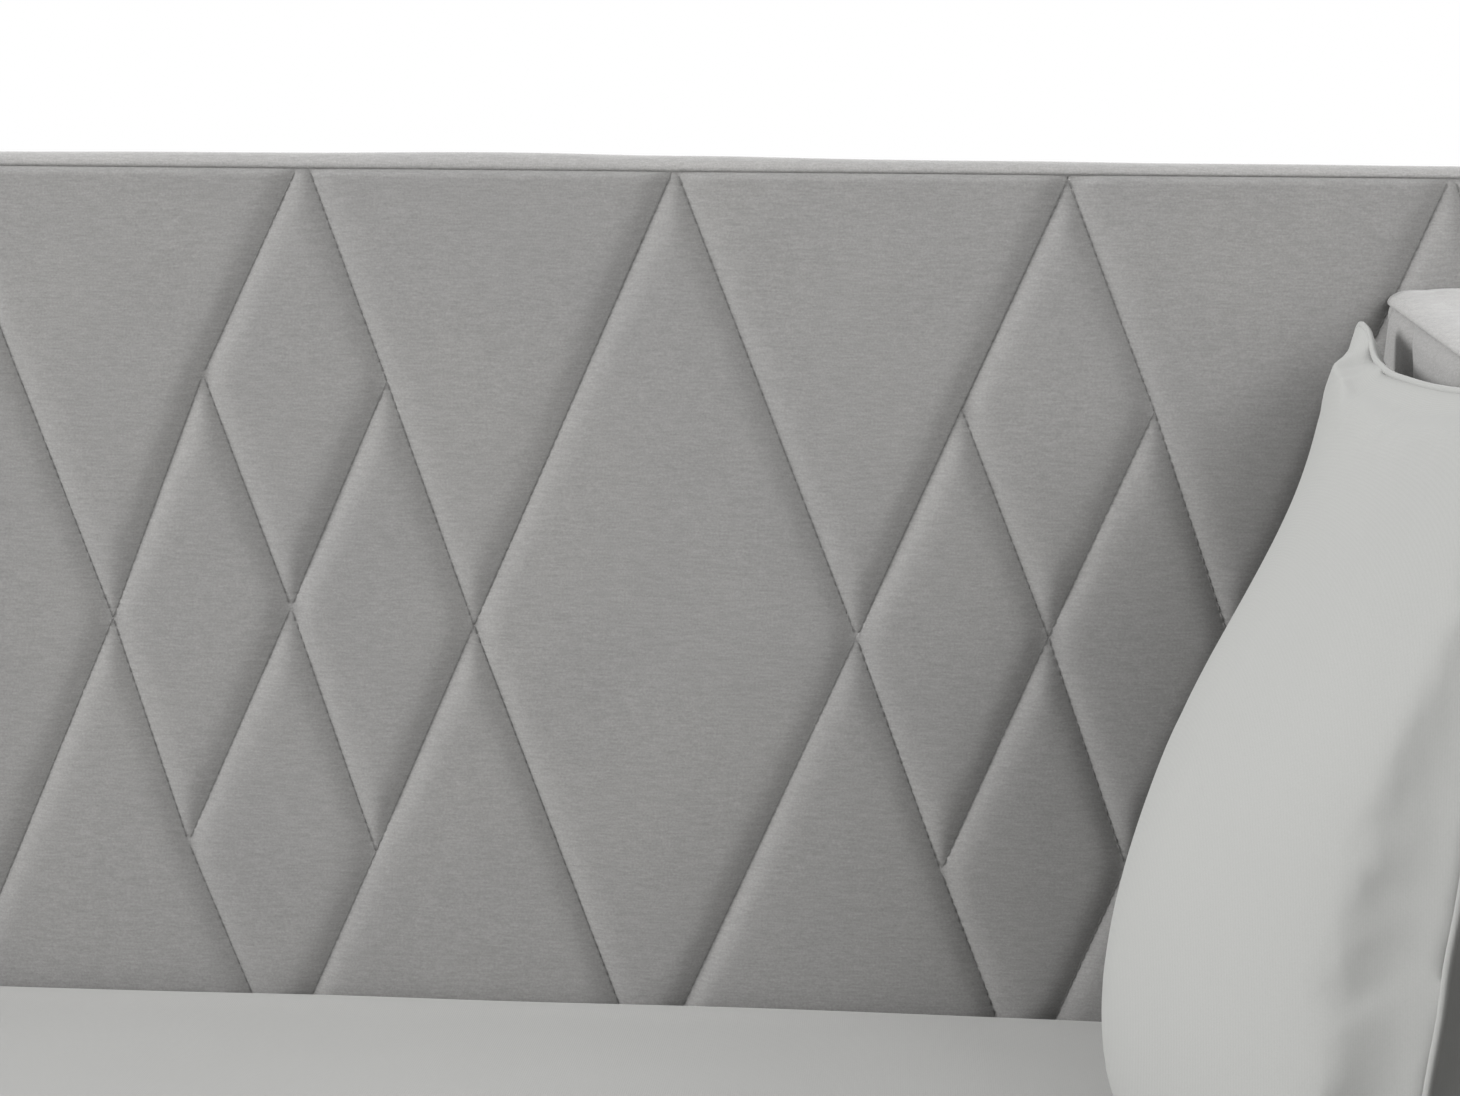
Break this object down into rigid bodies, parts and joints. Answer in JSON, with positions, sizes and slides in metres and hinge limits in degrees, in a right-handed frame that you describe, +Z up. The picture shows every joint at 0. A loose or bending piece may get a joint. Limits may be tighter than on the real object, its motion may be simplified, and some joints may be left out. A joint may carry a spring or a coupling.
{
  "type": "daybed",
  "caption": "Upholstered daybed with a diamond-quilted velvet back, matching padded arms, a slatted base, a loose mattress and a loose cushion.",
  "frame": {"origin": "on the floor under the middle of the daybed's bounding box", "axes": "+X along the length, towards the daybed's right end seen from the front; +Y from the open front to the back; +Z up"},
  "size_m": [2.08, 1.11, 0.915],
  "materials": {
    "velvet": "quilted and plain grey velvet, soft sheen",
    "foam": "open-cell upholstery foam",
    "pine": "planed pine, unfinished",
    "plywood": "plywood and hardboard, unfinished",
    "leg_wood": "dark stained turned wood, satin lacquer",
    "steel": "zinc plated steel",
    "black_steel": "black powder coat",
    "plastic": "moulded plastic",
    "cap_plastic": "moulded plastic, grey",
    "webbing": "woven polyester webbing",
    "mattress_fabric": "smooth light grey knitted cover",
    "cushion_fabric": "smooth light grey microfibre",
    "cushion_filling": "polyester fibre filling"
  },
  "bodies": {
    "frame": {"arm_bolt_caps": "cap_plastic", "arm_bolt_washers": "steel", "arm_bolts": "steel", "arm_inserts": "steel", "back_border": "velvet", "back_bottom_rail": "pine", "back_end_stiles": "pine", "back_face_board": "plywood", "back_foam": "foam", "back_mid_stiles": "pine", "back_quilted_cover": "velvet", "back_rear_board": "plywood", "back_rear_cover": "velvet", "back_top_rail": "pine", "beam_hangers": "black_steel", "bracket_bolts": "steel", "bracket_inserts": "steel", "bracket_washers": "steel", "centre_beam": "pine", "centre_leg_dowels": "pine", "centre_leg_glides": "plastic", "centre_legs": "pine", "corner_brackets": "black_steel", "front_cleat": "pine", "front_cleat_screws": "steel", "front_legs": "leg_wood", "front_rail_core": "pine", "front_rail_cover": "velvet", "hanger_screws": "steel", "left_arm_border": "velvet", "left_arm_foam": "foam", "left_arm_frame": "pine", "left_arm_inner_board": "plywood", "left_arm_outer_board": "plywood", "left_arm_outer_cover": "velvet", "left_arm_quilted_cover": "velvet", "leg_bolts": "steel", "leg_glides": "plastic", "leg_inserts": "steel", "rear_cleat": "pine", "rear_cleat_screws": "steel", "rear_legs": "leg_wood", "rear_rail": "pine", "right_arm_border": "velvet", "right_arm_foam": "foam", "right_arm_frame": "pine", "right_arm_inner_board": "plywood", "right_arm_outer_board": "plywood", "right_arm_outer_cover": "velvet", "right_arm_quilted_cover": "velvet", "slat_screws": "steel", "slat_straps": "webbing", "slats": "pine"},
    "mattress": {"mattress_core": "foam", "mattress_border": "mattress_fabric", "mattress_top_panel": "mattress_fabric", "mattress_bottom_panel": "mattress_fabric"},
    "cushion": {"cushion_fill": "cushion_filling", "cushion_front_panel": "cushion_fabric", "cushion_back_panel": "cushion_fabric"}
  },
  "joints": [
    {"name": "mattress_lift", "type": "slide", "parent": "frame", "child": "mattress", "axis": [0, 0, 1], "range_m": [0, 0.7]},
    {"name": "cushion_lift", "type": "slide", "parent": "mattress", "child": "cushion", "axis": [0, 0, 1], "range_m": [0, 0.45]}
  ]
}
